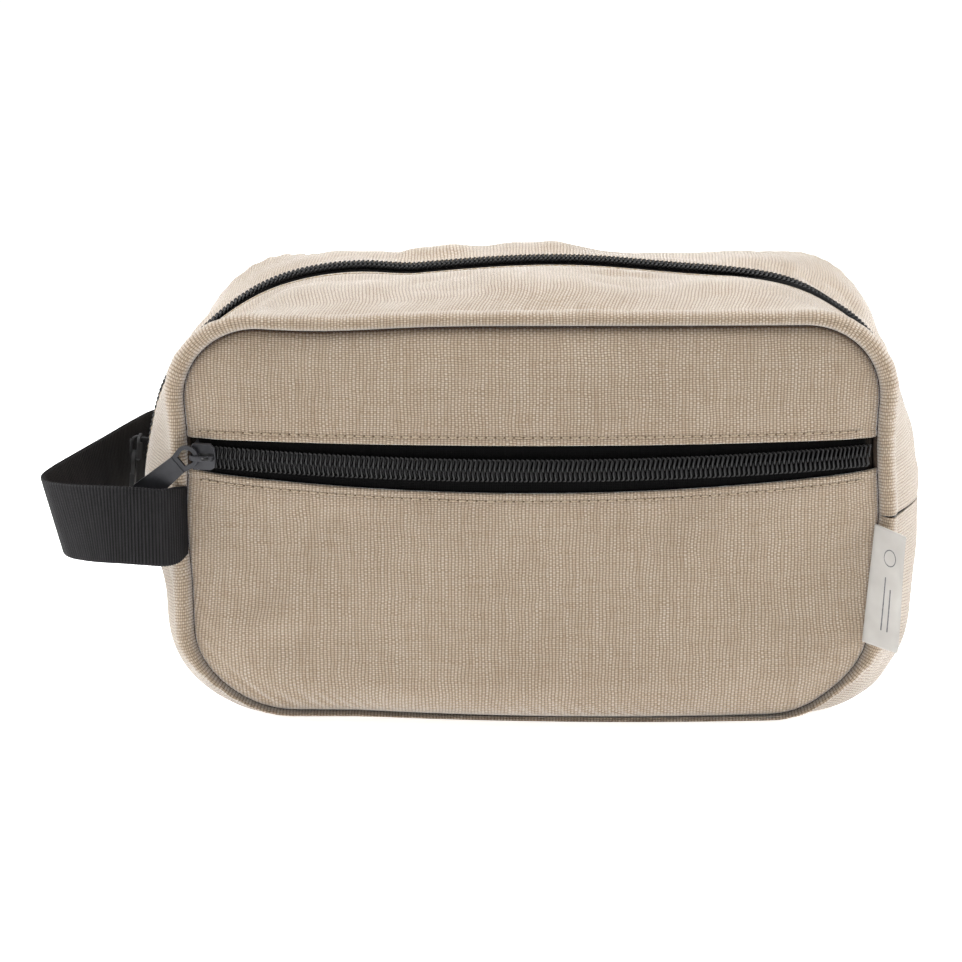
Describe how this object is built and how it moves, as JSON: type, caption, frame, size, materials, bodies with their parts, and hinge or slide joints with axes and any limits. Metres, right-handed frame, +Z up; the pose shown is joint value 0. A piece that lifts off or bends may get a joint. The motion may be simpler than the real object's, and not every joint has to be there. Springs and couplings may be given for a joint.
{
  "type": "shaving kit bag",
  "caption": "Boxy canvas wash bag with a zip over its rounded top, a zipped front pocket, a webbing carry loop on one side and a small side label.",
  "frame": {"origin": "centre of the flat base, on the surface the bag stands on", "axes": "+Z up, +X to the bag's right as seen from the pocket side, the pocket faces -Y; the carry loop is on -X"},
  "size_m": [0.2799, 0.1206, 0.1425],
  "materials": {
    "canvas": "natural beige plain-weave cotton canvas",
    "lining": "thin dark woven lining",
    "zip_tape": "black knitted zip tape",
    "zip_coil": "black nylon coil, slightly glossy",
    "binding": "black seam binding tape",
    "slider": "dark grey satin enamel on zinc",
    "webbing": "black ribbed polypropylene webbing",
    "label": "off-white woven satin tape"
  },
  "bodies": {
    "bag": {"front_panel_upper": "canvas", "front_panel_lower": "canvas", "back_panel": "canvas", "gusset_top_front": "canvas", "gusset_top_back": "canvas", "gusset_bottom": "canvas", "pocket_lining": "lining", "lining_front": "lining", "lining_back": "lining", "lining_top_front": "lining", "lining_top_back": "lining", "lining_bottom": "lining", "main_zip_tape_front": "zip_tape", "main_zip_tape_back": "zip_tape", "front_zip_tape_upper": "zip_tape", "front_zip_tape_lower": "zip_tape", "main_zip_coil_front": "zip_coil", "main_zip_coil_back": "zip_coil", "front_zip_coil_upper": "zip_coil", "front_zip_coil_lower": "zip_coil", "seam_binding_front": "binding", "seam_binding_back": "binding", "loop_end_front": "webbing", "loop_end_back": "webbing"},
    "front_slider": {"front_zip_slider": "slider"},
    "front_pull": {"front_zip_pull": "slider"},
    "main_slider": {"main_zip_slider": "slider"},
    "main_pull": {"main_zip_pull": "slider"},
    "loop": {"carry_loop": "webbing"},
    "label": {"side_label": "label"}
  },
  "joints": [
    {"name": "front_zip_slide", "type": "hinge", "parent": "bag", "child": "front_slider", "pos_m": [0, 0.54222, 0.0893], "axis": [0, 0, 1], "range_deg": [0, 19.4]},
    {"name": "front_pull_swing", "type": "hinge", "parent": "front_slider", "child": "front_pull", "pos_m": [-0.10673, -0.05526, 0.0893], "axis": [0.169, 0.9856, 0], "range_deg": [0, 70]},
    {"name": "main_zip_slide", "type": "hinge", "parent": "bag", "child": "main_slider", "pos_m": [-0.061, 0, 0.0735], "axis": [0, 1, 0], "range_deg": [0, 78]},
    {"name": "main_pull_swing", "type": "hinge", "parent": "main_slider", "child": "main_pull", "pos_m": [-0.12613, 0, 0.07384], "axis": [0.9976, 0, -0.0698], "range_deg": [-60, 60]},
    {"name": "loop_swing", "type": "hinge", "parent": "bag", "child": "loop", "pos_m": [-0.116, 0, 0.0688], "axis": [0, 1, 0], "range_deg": [-12, 12]},
    {"name": "label_flap", "type": "hinge", "parent": "bag", "child": "label", "pos_m": [0.10685, -0.05215, 0.048], "axis": [0.121, 0, 0.9927], "range_deg": [-110, 25]}
  ]
}
